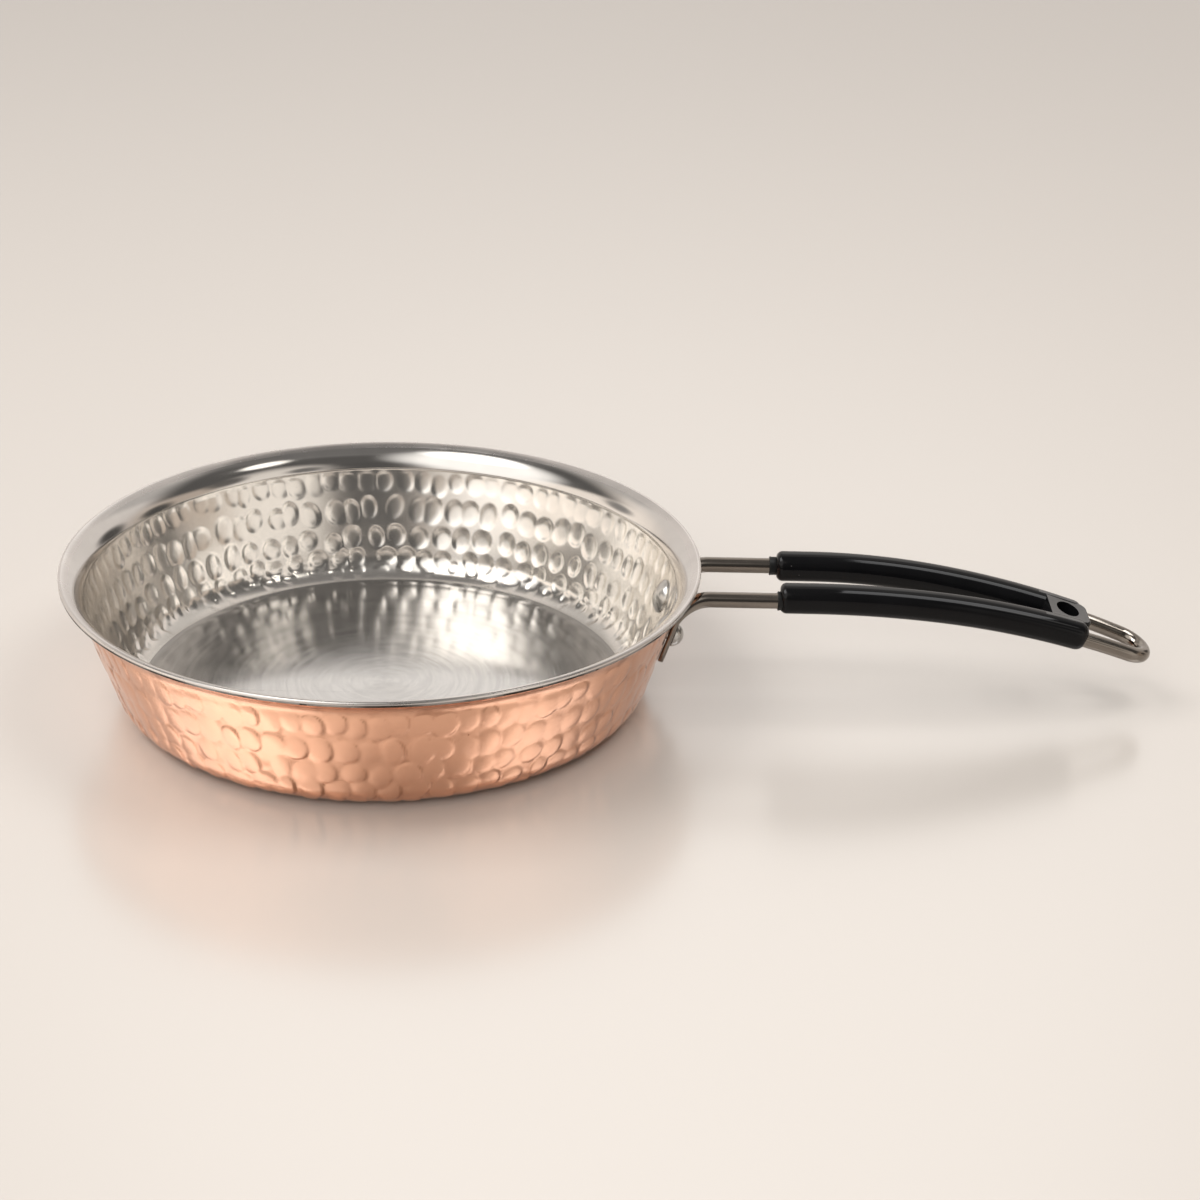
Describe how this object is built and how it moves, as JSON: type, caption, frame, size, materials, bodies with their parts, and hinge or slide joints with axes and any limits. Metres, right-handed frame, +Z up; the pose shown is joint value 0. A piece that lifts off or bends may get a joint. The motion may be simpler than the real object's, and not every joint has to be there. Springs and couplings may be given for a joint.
{
  "type": "copper frying pan",
  "caption": "Round frying pan with a sloping hammered copper wall, a steel liner with a flared rim, and a riveted bent-wire handle with a slotted black grip and a hanging eye.",
  "frame": {"origin": "centre of the base's underside, on the pan's axis", "axes": "+Z up along the pan's axis, +X along the handle, away from the pan"},
  "size_m": [0.4119, 0.24, 0.0535],
  "materials": {
    "copper": "polished copper, hammered on the wall",
    "liner_steel": "polished and hammered wall, brushed floor, polished rim",
    "wire_steel": "polished steel wire",
    "black_grip": "glossy black moulded grip with a matte end face",
    "black_sleeve": "black sleeve",
    "rivet_steel": "polished rivet"
  },
  "bodies": {
    "root": {"copper_shell": "copper", "steel_liner": "liner_steel", "wire_handle": "wire_steel", "grip": "black_grip", "sleeve_front": "black_sleeve", "sleeve_rear": "black_sleeve", "rivet_front": "rivet_steel", "rivet_rear": "rivet_steel"}
  },
  "joints": []
}
